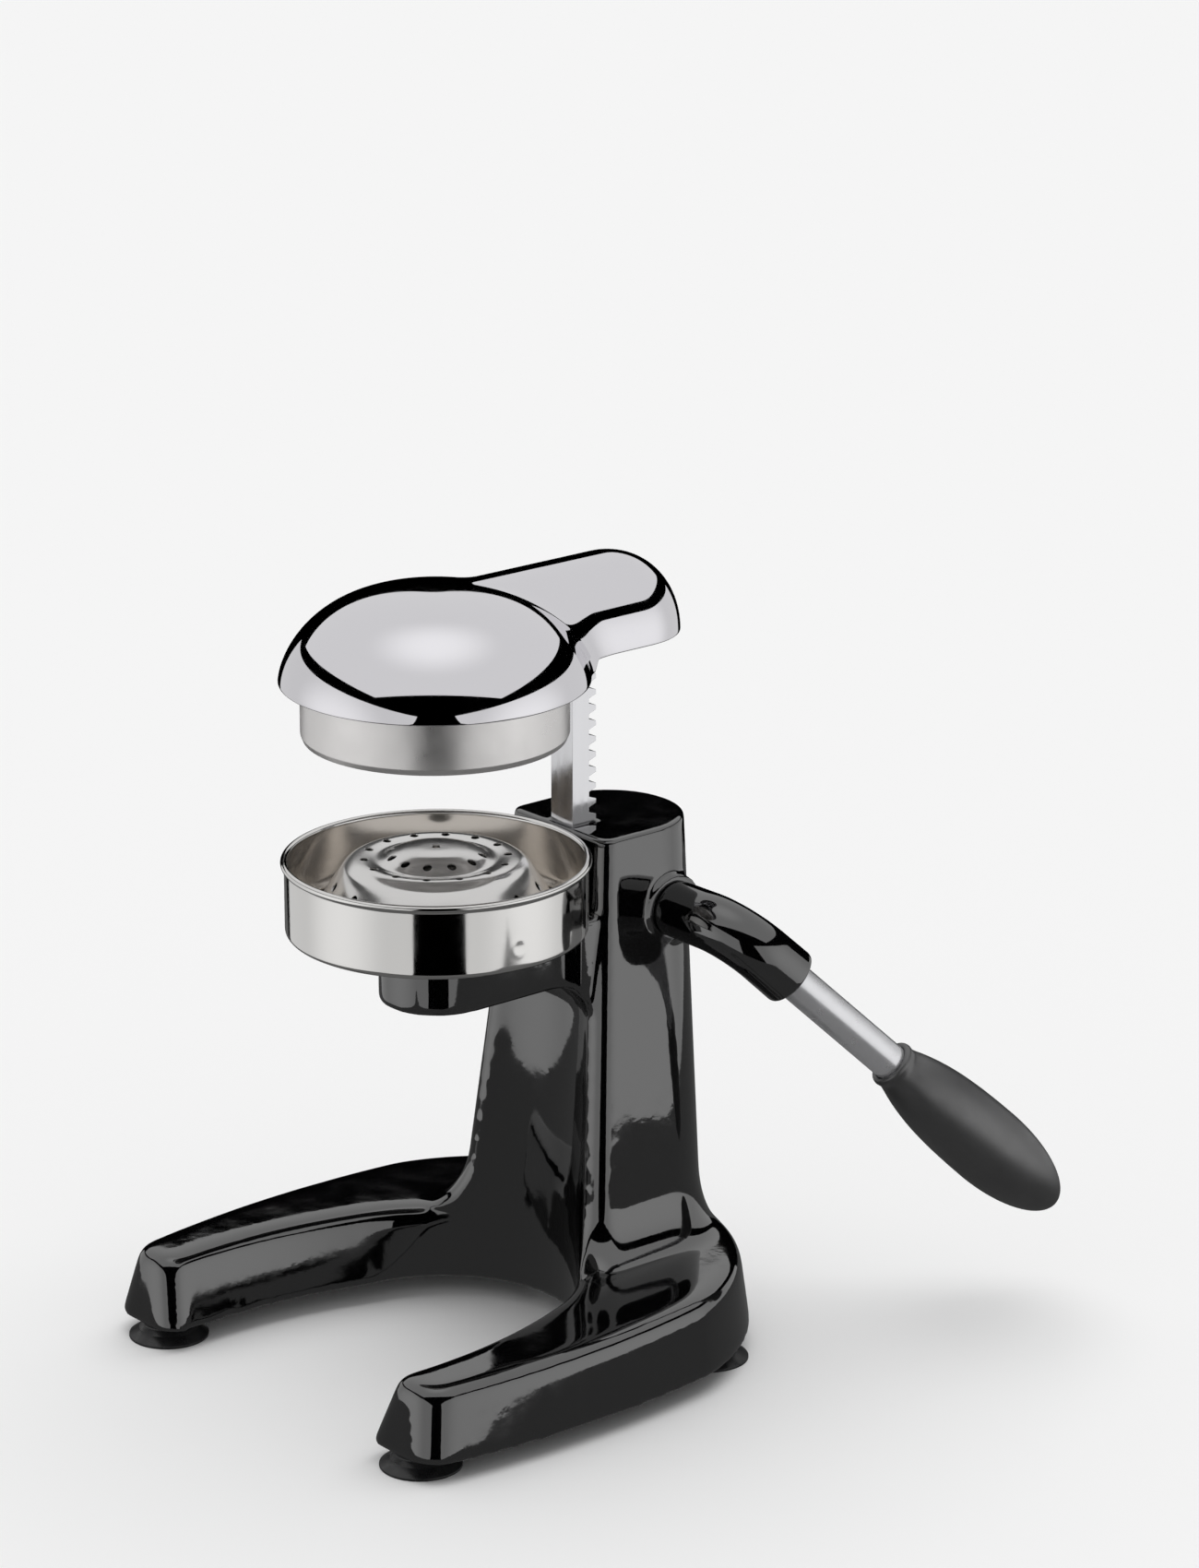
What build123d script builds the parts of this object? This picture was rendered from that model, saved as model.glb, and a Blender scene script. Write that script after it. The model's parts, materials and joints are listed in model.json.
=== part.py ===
from build123d import *
import os
from math import asin, cos, pi, radians, sin, sqrt, tan

# Lever-operated citrus press juicer. Millimetres, +Z up.
# The origin is on the table, under the juice axis: the common centre of bowl, strainer and press cup.
# +X is the lever's side, +Y points back to the column, the legs run forward to -Y.

os.makedirs("parts", exist_ok=True)

# ---------------------------------------------------------------- driving dimensions
# Feet and base
base_z = 7.0                      # underside of the casting, above the table
base_top_z = 34.8                 # top of the legs at the juice axis
base_top_slope = 0.016            # the legs' top rises towards the column
leg_front_y = -82.4
base_half_width = 101.6
base_rear_y = 115.5
base_draft = 0.20                 # side lean of the legs, mm per mm of height
leg_edge_radius = 6.0

# U-shaped space between the legs, where the glass stands
bay_radius = 50.8
bay_flare = 0.047                 # the column's hollow front widens upwards, mm per mm

# Column
column_top_z = 193.7
column_foot_z = 56.8
column_half_width = 27.9          # at the top
column_front_y = 56.5
column_rear_y = 109.4
column_rear_radius = 27.2
column_corner_radius = 6.0
column_side_flare = 11.4 / 118.7  # growth of the half width, mm per mm down
column_front_flare = 12.2 / 118.7
foot_blend_radius = 15.0

# Arm under the bowl
arm_top_z = 165.2
arm_bottom_z = 139.2
arm_half_width = 21.6
arm_flare_y = 36.0
arm_flare_radius = 11.0
arm_root_fillet = 12.0

# Rack and pinion
tooth_pitch = 6.0
pinion_teeth = 19
pitch_radius = tooth_pitch * pinion_teeth / (2 * pi)
tooth_addendum = 1.5
tooth_clearance = 0.35
tooth_backlash = 0.35
pressure_angle = 20.0
rack_half_width = 6.2
rack_front_y = 59.2
rack_pitch_y = 69.0
rack_bottom_z = 144.0
rack_top_z = 286.0
pivot_y = rack_pitch_y + pitch_radius
pivot_z = 163.0

# Pinion shaft
shaft_radius = 6.0
gear_half_width = 7.0
shaft_left_x = -35.4
hub_face_x = 32.6                 # the elbow's face beside the casting
shaft_right_x = 47.0
ring_x = -33.9                    # retaining ring's outer face
ring_thickness = 1.2

# Head
dome_rim_radius = 56.5
dome_rim_z = 260.5
dome_height = 34.2
tail_centre_y = 81.0
tail_radius = 27.0
tail_rim_z = 264.4
tail_crest_z = 294.1
head_wall = 3.0

# Press cup
cup_radius = 48.7
cup_rim_z = 239.7
cup_wall = 1.0
cup_ceiling_z = 269.0

# Bowl and strainer
bowl_bottom_z = 165.6
bowl_bead_z = 192.5
bowl_bead_radius = 1.3
bowl_rim_radius = 56.7
bowl_wall_radius = 55.4
bowl_wall = 1.0
neck_radius = 9.4
neck_bottom_z = 147.0
dent_angle = -6.0
dent_z = 175.0
dent_radius = 6.0
strainer_wall = 0.8
strainer_hole_radius = 1.6
strainer_rings = [(17.0, 12, 10.7), (26.2, 14, 5.5)]      # radius, holes, first angle
strainer_side_holes = 14
strainer_side_hole_z = 185.0
strainer_side_angle = 12.3

# Lever
lever_bend = 75.0                 # degrees between the shaft's axis and the rod
lever_droop = 45.6                # degrees below the horizontal, seen along the shaft
elbow_straight = 18.2
elbow_bend_radius = 20.0
elbow_reach = 13.8
elbow_root_radius = 10.6
elbow_tip_radius = 11.2
rod_radius = 7.0
rod_start = -22.0                 # along the rod from the elbow's mouth
rod_end = 118.0
grip_start = 55.5
grip_length = 94.0
grip_neck_radius = 9.2
grip_radius = 15.3
grip_thick_at = 55.0              # from the grip's neck

# Suction pads
pad_places = [(-76.3, -69.7), (76.3, -69.7), (-70.0, 71.4), (70.0, 71.4)]
pad_radius = 15.0

# Fits and fasteners
chamber_top_z = 186.0             # roof of the chamber inside the column
chamber_radius = 21.5
bush_wall = 2.0
bush_flange_radius = shaft_radius + 4.5
bush_seat_x = 21.5                # inner end of the bushes' bores
boss_radius = 12.8                # round the shaft on both sides of the column
bowl_room_radius = 57.4           # scooped out of the column for the bowl
pin_x = 41.0                      # cross pin that holds the elbow on the shaft
pin_radius = 2.0
key_size = 4.0
key_half_length = 19.0
screw_radius = 1.6
screw_head_radius = 3.0
rack_screw_levels = (273.0, 281.0)
rack_screw_seat_y = 74.2
stop_y = 63.0
pad_screw_radius = 2.1
cup_screw_radius = 2.5
seat_gap = 0.4                    # free space between bodies that don't fit each other


def write(piece, name):
    """Label a finished piece and write it as its own STEP file."""
    piece.part.label = name
    export_step(piece.part, f"parts/{name}.step")


def above(z):
    """Horizontal plane at height z."""
    return Plane.XY.offset(z)


# ---------------------------------------------------------------- shared outlines
def base_outline(inset, rear_inset):
    """Outer plan of the base: long side arcs, an elliptical rear and a straight front."""
    half = base_half_width - inset
    front = leg_front_y + inset
    corner_x = 0.935 * base_half_width - inset
    shoulder_x = 0.955 * base_half_width - inset
    shoulder_y = 50.0
    rear = base_rear_y - rear_inset
    with BuildLine() as outline:
        Line((-corner_x, front), (corner_x, front))
        ThreePointArc((corner_x, front), (half, -8.0), (shoulder_x, shoulder_y))
        ThreePointArc(
            (shoulder_x, shoulder_y),
            (0.63 * shoulder_x, shoulder_y + 0.75 * (rear - shoulder_y)),
            (0.0, rear),
        )
        ThreePointArc(
            (0.0, rear),
            (-0.63 * shoulder_x, shoulder_y + 0.75 * (rear - shoulder_y)),
            (-shoulder_x, shoulder_y),
        )
        ThreePointArc((-shoulder_x, shoulder_y), (-half, -8.0), (-corner_x, front))
    make_face(outline.edges())


def bay_outline(back_radius, back_y, side_x, mid_x, mouth_x):
    """Plan of the space between the legs: a round back and two bowed sides, open to the front."""
    mouth_y = leg_front_y - 20.0
    side_y = 5.0
    mid_y = -30.0
    with BuildLine() as outline:
        ThreePointArc((-side_x, side_y), (0.0, back_y), (side_x, side_y))
        ThreePointArc((side_x, side_y), (mid_x, mid_y), (mouth_x, mouth_y))
        Line((mouth_x, mouth_y), (-mouth_x, mouth_y))
        ThreePointArc((-mouth_x, mouth_y), (-mid_x, mid_y), (-side_x, side_y))
    make_face(outline.edges())


def column_outline(z, grow=0.0, rear_grow=0.0):
    """D-shaped plan of the column at height z: flat front, rounded front corners, wide round rear."""
    drop = column_top_z - z
    half = column_half_width + column_side_flare * drop + grow
    front = column_front_y - column_front_flare * drop - grow
    rear = column_rear_y - 0.012 * drop + rear_grow
    rear_r = column_rear_radius + 0.02 * drop + 0.5 * grow
    front_r = column_corner_radius + 0.02 * drop + 0.4 * grow
    with BuildLine() as outline:
        Line((-half + front_r, front), (half - front_r, front))
        RadiusArc((half - front_r, front), (half, front + front_r), -front_r)
        Line((half, front + front_r), (half, rear - rear_r))
        RadiusArc((half, rear - rear_r), (half - rear_r, rear), -rear_r)
        Line((half - rear_r, rear), (-half + rear_r, rear))
        RadiusArc((-half + rear_r, rear), (-half, rear - rear_r), -rear_r)
        Line((-half, rear - rear_r), (-half, front + front_r))
        RadiusArc((-half, front + front_r), (-half + front_r, front), -front_r)
    make_face(outline.edges())


# ---------------------------------------------------------------- stand casting
base_height = base_top_z - base_z
base_top_plane = Plane(origin=(0, 0, base_top_z), x_dir=(1, 0, 0), z_dir=(0, -base_top_slope, 1))

with BuildPart() as bay_cutter:
    with BuildSketch(above(base_z - 2.0)):
        bay_outline(bay_radius, 46.4, 50.3, 58.2, 53.0)
    with BuildSketch(above(base_z + 46.0)):
        bay_outline(bay_radius, 49.0, 63.5, 72.5, 70.0)
    loft(ruled=True)

# The glass bay's round back runs on up the column as a shallow hollow, and ends under the arm.
with BuildPart() as hollow_cutter:
    with BuildSketch(Plane.YZ):
        with BuildLine():
            Polyline(
                (0, base_z - 2.0),
                (bay_radius, base_z - 2.0),
                (bay_radius + bay_flare * (arm_bottom_z - base_z), arm_bottom_z),
                (0, arm_bottom_z),
                (0, base_z - 2.0),
            )
        make_face()
    revolve(axis=Axis.Z)
    fillet(hollow_cutter.edges().sort_by(Axis.Z)[-1], arm_root_fillet)

with BuildPart() as base_block:
    with BuildSketch(above(base_z)):
        base_outline(0.0, 0.0)
    with BuildSketch(base_top_plane):
        base_outline(base_draft * base_height, 3.0)
    loft(ruled=True)
    add(bay_cutter.part, mode=Mode.SUBTRACT)
    upright = base_block.edges().filter_by(lambda e: e.bounding_box().size.Z > 15.0)
    tips = upright.filter_by(lambda e: e.center().Y < leg_front_y + 12.0)
    outer_tips = tips.filter_by(lambda e: abs(e.center().X) > 75.0)
    inner_tips = tips.filter_by(lambda e: abs(e.center().X) < 75.0)
    fillet(outer_tips, 13.0)
    fillet(inner_tips, 9.0)
    fillet(base_block.faces().sort_by(Axis.Z)[-1].edges(), leg_edge_radius)

blend_steps = [0.0, 0.35, 0.65, 0.9, 1.12, 1.32]      # angles round the foot's concave blend, radians
with BuildPart() as column_foot:
    for angle in blend_steps:
        spread = foot_blend_radius * (1 - cos(angle))
        level = column_foot_z - 1.5 * foot_blend_radius * sin(angle)
        with BuildSketch(above(level)):
            column_outline(level, spread, 0.25 * spread)
    loft()

with BuildPart() as stand_casting:
    with BuildSketch(above(column_foot_z)):
        column_outline(column_foot_z)
    with BuildSketch(above(column_top_z)):
        column_outline(column_top_z)
    loft(ruled=True)
    fillet(stand_casting.faces().sort_by(Axis.Z)[-1].edges(), 0.9)
    add(column_foot.part)
    add(base_block.part)

    # Arm and the ridge that carries it down the column
    with BuildSketch(above(60.0)):
        with BuildLine():
            turn = radians(62.0)
            flare_x = arm_half_width + arm_flare_radius * (1 - cos(turn))
            flare_y = arm_flare_y + arm_flare_radius * sin(turn)
            half_x = arm_half_width + arm_flare_radius * (1 - cos(turn / 2))
            half_y = arm_flare_y + arm_flare_radius * sin(turn / 2)
            ThreePointArc((-arm_half_width, 0), (0, -arm_half_width), (arm_half_width, 0))
            Line((arm_half_width, 0), (arm_half_width, arm_flare_y))
            ThreePointArc((arm_half_width, arm_flare_y), (half_x, half_y), (flare_x, flare_y))
            Line((flare_x, flare_y), (flare_x, 66.0))
            Line((flare_x, 66.0), (-flare_x, 66.0))
            Line((-flare_x, 66.0), (-flare_x, flare_y))
            ThreePointArc((-flare_x, flare_y), (-half_x, half_y), (-arm_half_width, arm_flare_y))
            Line((-arm_half_width, arm_flare_y), (-arm_half_width, 0))
        make_face()
    extrude(amount=arm_top_z - 60.0)

    add(bay_cutter.part, mode=Mode.SUBTRACT)
    add(hollow_cutter.part, mode=Mode.SUBTRACT)

    # Room for the bowl in front of the column
    with Locations((0, 0, arm_top_z)):
        Cylinder(bowl_room_radius, 40.0, align=(Align.CENTER, Align.CENTER, Align.MIN), mode=Mode.SUBTRACT)

    # Bore for the bowl's neck
    with Locations((0, 0, arm_top_z)):
        Hole(neck_radius + 0.6, depth=arm_top_z - arm_bottom_z + 2.0)

    # Boss round the pinion shaft on both sides
    with BuildSketch(Plane.YZ):
        with Locations((pivot_y, pivot_z)):
            Circle(boss_radius)
    extrude(amount=hub_face_x - seat_gap, both=True)

    # Chamber for rack and pinion, open at the bottom
    with BuildSketch(above(base_z - 1.0)):
        with Locations((0, 66.6)):
            Rectangle(2 * chamber_radius, 22.0, align=(Align.CENTER, Align.MIN))
        with Locations((0, 83.0)):
            Circle(chamber_radius)
        with Locations((0, 58.9)):
            Rectangle(23.6, 20.0, align=(Align.CENTER, Align.MIN))
        with Locations((0, 80.0)):
            Rectangle(2 * gear_half_width + 3.0, 27.4, align=(Align.CENTER, Align.MIN))
    extrude(amount=chamber_top_z - base_z + 1.0, mode=Mode.SUBTRACT)

    # Slot in the top for the rack
    with BuildSketch(above(column_top_z + 1.0)):
        with Locations((0, rack_front_y - 0.3)):
            Rectangle(2 * rack_half_width + 0.8, 12.1, align=(Align.CENTER, Align.MIN))
    extrude(amount=-20.0, mode=Mode.SUBTRACT)

    # Spot faces inside for the bush flanges, and the cross bore for the bushes
    with BuildSketch(Plane.YZ):
        with Locations((pivot_y, pivot_z)):
            Circle(bush_flange_radius + 0.7)
    extrude(amount=bush_seat_x, both=True, mode=Mode.SUBTRACT)
    with BuildSketch(Plane.YZ):
        with Locations((pivot_y, pivot_z)):
            Circle(shaft_radius + bush_wall)
    extrude(amount=40.0, both=True, mode=Mode.SUBTRACT)

    # Recesses under the legs, and holes for the pad screws
    for side in (-1, 1):
        with BuildSketch(above(base_z)):
            with BuildLine():
                leg_line = ThreePointArc((side * 80.0, -43.0), (side * 84.5, 0.0), (side * 80.0, 43.0))
            SlotArc(leg_line, 17.0)
        extrude(amount=18.0, mode=Mode.SUBTRACT)
    for place in pad_places:
        with Locations((place[0], place[1], base_z)):
            Hole(pad_screw_radius, depth=12.0)
write(stand_casting, "stand_casting")

# ---------------------------------------------------------------- suction pads and their screws
with BuildPart() as suction_pads:
    for place in pad_places:
        with BuildSketch(Plane(origin=(place[0], place[1], 0), x_dir=(1, 0, 0), z_dir=(0, -1, 0))):
            with BuildLine():
                Polyline(
                    (0, 2.6), (9.0, 1.6), (13.6, 0.0), (pad_radius, 0.0), (pad_radius, 0.7),
                    (11.4, 3.4), (9.0, base_z), (3.4, base_z), (3.4, 5.6), (0, 5.6), (0, 2.6),
                )
            make_face()
        revolve(axis=Axis((place[0], place[1], 0), (0, 0, 1)))
write(suction_pads, "suction_pads")

with BuildPart() as pad_screws:
    for place in pad_places:
        with BuildSketch(above(5.6)):
            with Locations(place):
                Circle(3.3)
        extrude(amount=1.4)
        with BuildSketch(above(7.0)):
            with Locations(place):
                Circle(pad_screw_radius)
        extrude(amount=10.0)
write(pad_screws, "pad_screws")

# ---------------------------------------------------------------- bushes, guides and stops in the column
for side, bush_name in ((1, "shaft_bush_right"), (-1, "shaft_bush_left")):
    with BuildPart() as shaft_bush:
        with BuildSketch(Plane.YZ.offset(side * bush_seat_x)):
            with Locations((pivot_y, pivot_z)):
                Circle(shaft_radius + bush_wall)
        extrude(amount=side * 10.5)
        with BuildSketch(Plane.YZ.offset(side * (bush_seat_x - 1.7))):
            with Locations((pivot_y, pivot_z)):
                Circle(bush_flange_radius)
        extrude(amount=side * 1.7)
        with BuildSketch(Plane.YZ):
            with Locations((pivot_y, pivot_z)):
                Circle(shaft_radius + 0.05)
        extrude(amount=40.0, both=True, mode=Mode.SUBTRACT)
    write(shaft_bush, bush_name)

with BuildPart() as rack_guides:
    for side in (-1, 1):
        with BuildSketch(above(rack_bottom_z + seat_gap)):
            with Locations((side * (rack_half_width + 0.06 + 2.75), rack_front_y - 0.3)):
                Rectangle(5.5, 7.4, align=(Align.CENTER, Align.MIN))
        extrude(amount=chamber_top_z - rack_bottom_z - seat_gap)
write(rack_guides, "rack_guides")

with BuildPart() as side_cap:
    with BuildSketch(Plane.YZ.offset(-(hub_face_x - seat_gap))):
        with Locations((pivot_y, pivot_z)):
            Circle(boss_radius)
    extrude(amount=-5.6)
    fillet(side_cap.faces().sort_by(Axis.X)[0].edges(), 2.4)
    with BuildSketch(Plane.YZ.offset(-(hub_face_x - seat_gap))):
        with Locations((pivot_y, pivot_z)):
            Circle(9.6)
    extrude(amount=-4.2, mode=Mode.SUBTRACT)
write(side_cap, "side_cap")

# ---------------------------------------------------------------- rack
half_tooth = tooth_pitch / 4 - tooth_backlash / 4
lean = tooth_addendum * tan(radians(pressure_angle))
root_depth = tooth_addendum + tooth_clearance
root_lean = root_depth * tan(radians(pressure_angle))
tooth_count = 20
first_tooth_z = pivot_z - 2.5 * tooth_pitch

with BuildPart() as rack_bar:
    with BuildSketch(Plane.YZ):
        with Locations((rack_front_y, rack_bottom_z)):
            Rectangle(
                rack_pitch_y - root_depth - rack_front_y,
                rack_top_z - rack_bottom_z,
                align=(Align.MIN, Align.MIN),
            )
        for index in range(tooth_count):
            centre = first_tooth_z + index * tooth_pitch
            with BuildLine():
                Polyline(
                    (rack_pitch_y - root_depth - 1.0, centre - half_tooth - root_lean),
                    (rack_pitch_y - root_depth, centre - half_tooth - root_lean),
                    (rack_pitch_y + tooth_addendum, centre - half_tooth + lean),
                    (rack_pitch_y + tooth_addendum, centre + half_tooth - lean),
                    (rack_pitch_y - root_depth, centre + half_tooth + root_lean),
                    (rack_pitch_y - root_depth - 1.0, centre + half_tooth + root_lean),
                    close=True,
                )
            make_face()
    extrude(amount=rack_half_width, both=True)
    with BuildSketch(Plane.XZ.offset(-80.0)):
        with Locations(*[(0, level) for level in rack_screw_levels]):
            Circle(screw_radius)
    extrude(amount=30.0, mode=Mode.SUBTRACT)
    with BuildSketch(above(rack_bottom_z)):
        with Locations((0, stop_y)):
            Circle(screw_radius)
    extrude(amount=10.0, mode=Mode.SUBTRACT)
write(rack_bar, "rack_bar")

with BuildPart() as rack_stop_plate:
    with BuildSketch(above(rack_bottom_z - 2.0)):
        with Locations((0, stop_y)):
            Rectangle(20.0, 6.6)
            Circle(screw_radius, mode=Mode.SUBTRACT)
    extrude(amount=2.0)
write(rack_stop_plate, "rack_stop_plate")

with BuildPart() as rack_stop_screw:
    with BuildSketch(above(rack_bottom_z - 4.0)):
        with Locations((0, stop_y)):
            Circle(screw_head_radius)
    extrude(amount=2.0)
    with BuildSketch(above(rack_bottom_z - 2.0)):
        with Locations((0, stop_y)):
            Circle(screw_radius)
    extrude(amount=11.0)
write(rack_stop_screw, "rack_stop_screw")

# ---------------------------------------------------------------- pinion, key and shaft
base_circle = pitch_radius * cos(radians(pressure_angle))
tip_radius = pitch_radius + tooth_addendum - 0.05
root_radius = pitch_radius - root_depth
pitch_half_angle = (tooth_pitch / 4 - tooth_backlash / 4) / pitch_radius


def involute_angle(radius):
    """Angle from an involute's start on the base circle to its point at the given radius."""
    if radius <= base_circle:
        return 0.0
    roll = sqrt((radius / base_circle) ** 2 - 1)
    return roll - (pi / 2 - asin(base_circle / radius))


def flank_point(radius, side):
    """A point of one tooth flank of the tooth on the local +X axis."""
    angle = pitch_half_angle + involute_angle(pitch_radius) - involute_angle(radius)
    return (radius * cos(angle), side * radius * sin(angle))


flank_radii = (root_radius - 1.0, base_circle, pitch_radius, tip_radius)
lower = [flank_point(radius, -1) for radius in flank_radii]
upper = [flank_point(radius, 1) for radius in flank_radii]
with BuildSketch() as gear_tooth:
    with BuildLine():
        Line(lower[0], lower[1])
        Spline(lower[1], lower[2], lower[3])
        Line(lower[3], upper[3])
        Spline(upper[3], upper[2], upper[1])
        Line(upper[1], upper[0])
        Line(upper[0], lower[0])
    make_face()

with BuildPart() as pinion_gear:
    with BuildSketch(Plane.YZ.offset(-gear_half_width)):
        with Locations((pivot_y, pivot_z)):
            Circle(root_radius)
            with PolarLocations(0, pinion_teeth, start_angle=180.0):
                add(gear_tooth.sketch)
        with Locations((pivot_y, pivot_z)):
            Circle(shaft_radius, mode=Mode.SUBTRACT)
        with Locations((pivot_y, pivot_z + shaft_radius)):
            Rectangle(key_size, key_size, mode=Mode.SUBTRACT)
    extrude(amount=2 * gear_half_width)
    for face_x, direction in ((gear_half_width, 1), (-gear_half_width, -1)):
        with BuildSketch(Plane.YZ.offset(face_x)):
            with Locations((pivot_y, pivot_z)):
                Circle(10.5)
                Circle(shaft_radius, mode=Mode.SUBTRACT)
            with Locations((pivot_y, pivot_z + shaft_radius)):
                Rectangle(key_size, key_size, mode=Mode.SUBTRACT)
        extrude(amount=direction * (key_half_length - gear_half_width))
write(pinion_gear, "pinion_gear")

with BuildPart() as pinion_shaft:
    with BuildSketch(Plane.YZ.offset(shaft_left_x)):
        with Locations((pivot_y, pivot_z)):
            Circle(shaft_radius)
    extrude(amount=shaft_right_x - shaft_left_x)
    with BuildSketch(Plane.YZ.offset(-key_half_length)):
        with Locations((pivot_y, pivot_z + shaft_radius)):
            Rectangle(key_size, key_size)
    extrude(amount=2 * key_half_length, mode=Mode.SUBTRACT)
    with BuildSketch(above(pivot_z)):
        with Locations((pin_x, pivot_y)):
            Circle(pin_radius)
    extrude(amount=20.0, both=True, mode=Mode.SUBTRACT)
    with BuildSketch(Plane.YZ.offset(ring_x)):
        with Locations((pivot_y, pivot_z)):
            Circle(shaft_radius + 1.0)
            Circle(shaft_radius - 0.8, mode=Mode.SUBTRACT)
    extrude(amount=ring_thickness, mode=Mode.SUBTRACT)
write(pinion_shaft, "pinion_shaft")

with BuildPart() as gear_key:
    with BuildSketch(Plane.YZ.offset(-key_half_length)):
        with Locations((pivot_y, pivot_z + shaft_radius)):
            Rectangle(key_size, key_size)
    extrude(amount=2 * key_half_length)
write(gear_key, "gear_key")

with BuildPart() as retaining_ring:
    with BuildSketch(Plane.YZ.offset(ring_x)):
        with Locations((pivot_y, pivot_z)):
            Circle(shaft_radius + 2.6)
            Circle(shaft_radius - 0.8, mode=Mode.SUBTRACT)
        with Locations((pivot_y, pivot_z - 8.0)):
            Rectangle(4.0, 8.0, mode=Mode.SUBTRACT)
    extrude(amount=ring_thickness)
write(retaining_ring, "retaining_ring")

# ---------------------------------------------------------------- lever
# The elbow bends in the plane that holds the shaft's axis and the rod's direction.
side_dir = Vector(0, cos(radians(lever_droop)), -sin(radians(lever_droop)))
lever_plane = Plane(
    origin=(hub_face_x, pivot_y, pivot_z),
    x_dir=(1, 0, 0),
    z_dir=Vector(1, 0, 0).cross(side_dir),
)
bend = radians(lever_bend)
mouth_local = (
    elbow_straight + elbow_bend_radius * sin(bend) + elbow_reach * cos(bend),
    elbow_bend_radius * (1 - cos(bend)) + elbow_reach * sin(bend),
)
mouth = lever_plane.from_local_coords(Vector(mouth_local[0], mouth_local[1], 0))
rod_dir = Vector(1, 0, 0) * cos(bend) + side_dir * sin(bend)
rod_plane = Plane(origin=mouth, x_dir=lever_plane.z_dir, z_dir=rod_dir)


def along_rod(distance):
    """Plane square to the rod, at a distance from the elbow's mouth."""
    return rod_plane.offset(distance)


with BuildPart() as lever_elbow:
    with BuildLine(lever_plane) as elbow_path:
        straight = Line((0, 0), (elbow_straight, 0))
        curve = JernArc(straight @ 1, straight % 1, elbow_bend_radius, lever_bend)
        Line(curve @ 1, mouth_local)
    with BuildSketch(Plane.YZ.offset(hub_face_x)):
        with Locations((pivot_y, pivot_z)):
            Circle(elbow_root_radius)
    with BuildSketch(rod_plane):
        Circle(elbow_tip_radius)
    sweep(path=elbow_path.wires()[0], multisection=True)
    fillet(lever_elbow.faces().filter_by(GeomType.PLANE).edges(), 0.8)
    with BuildSketch(Plane.YZ.offset(hub_face_x)):
        with Locations((pivot_y, pivot_z)):
            Circle(shaft_radius)
    extrude(amount=shaft_right_x - hub_face_x, mode=Mode.SUBTRACT)
    with BuildSketch(rod_plane):
        Circle(rod_radius)
    extrude(amount=rod_start, mode=Mode.SUBTRACT)
    with BuildSketch(above(pivot_z)):
        with Locations((pin_x, pivot_y)):
            Circle(pin_radius)
    extrude(amount=20.0, both=True, mode=Mode.SUBTRACT)
write(lever_elbow, "lever_elbow")

with BuildPart() as elbow_pin:
    with BuildSketch(above(pivot_z - 9.4)):
        with Locations((pin_x, pivot_y)):
            Circle(pin_radius)
    extrude(amount=18.8)
write(elbow_pin, "elbow_pin")

with BuildPart() as lever_rod:
    with BuildSketch(along_rod(rod_start)):
        Circle(rod_radius)
    extrude(amount=rod_end - rod_start)
    chamfer(lever_rod.faces().filter_by(GeomType.PLANE).edges(), 0.8)
write(lever_rod, "lever_rod")

# The grip swells to its thickest place, and ends in half an ellipse.
with BuildPart() as grip:
    grip_plane = Plane(origin=mouth + rod_dir * grip_start, x_dir=rod_dir, z_dir=lever_plane.z_dir)
    with BuildSketch(grip_plane):
        with BuildLine():
            Line((0, 0), (0, grip_neck_radius))
            Spline(
                (0, grip_neck_radius), (16.0, 12.3), (36.0, 14.8), (grip_thick_at, grip_radius),
                tangents=[(1, 0.1), (1, 0)],
            )
            EllipticalCenterArc(
                (grip_thick_at, 0),
                grip_length - grip_thick_at,
                grip_radius,
                start_angle=0,
                arc_size=90,
            )
            Line((grip_length, 0), (0, 0))
        make_face()
    revolve(axis=Axis(mouth + rod_dir * grip_start, rod_dir))
    with BuildSketch(along_rod(grip_start)):
        Circle(rod_radius)
    extrude(amount=rod_end - grip_start, mode=Mode.SUBTRACT)
write(grip, "grip")

# ---------------------------------------------------------------- head
dome_power = 2.7
dome_blend = 1.62
dome_samples = (0.0, 0.2, 0.38, 0.55, 0.7, 0.82, 0.91, 0.965, 0.99, 1.0)


def dome_point(share, inset):
    """A point of the dome's profile, from its crown (0) to its rim (1)."""
    radius = dome_rim_radius * share
    height = dome_height * (1 - share ** dome_power) ** (1 / dome_blend)
    scale = 1 - inset / dome_rim_radius
    return (radius * scale, dome_rim_z + height * (1 - inset / dome_height))


def tail_point(angle, inset):
    """A point of the tail's round section, from its side (0) to its crest (90 degrees)."""
    crest = tail_crest_z - tail_rim_z
    return (
        (tail_radius - inset) * cos(angle) ** 0.95,
        tail_rim_z + (crest - inset) * sin(angle) ** 0.95,
    )


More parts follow.
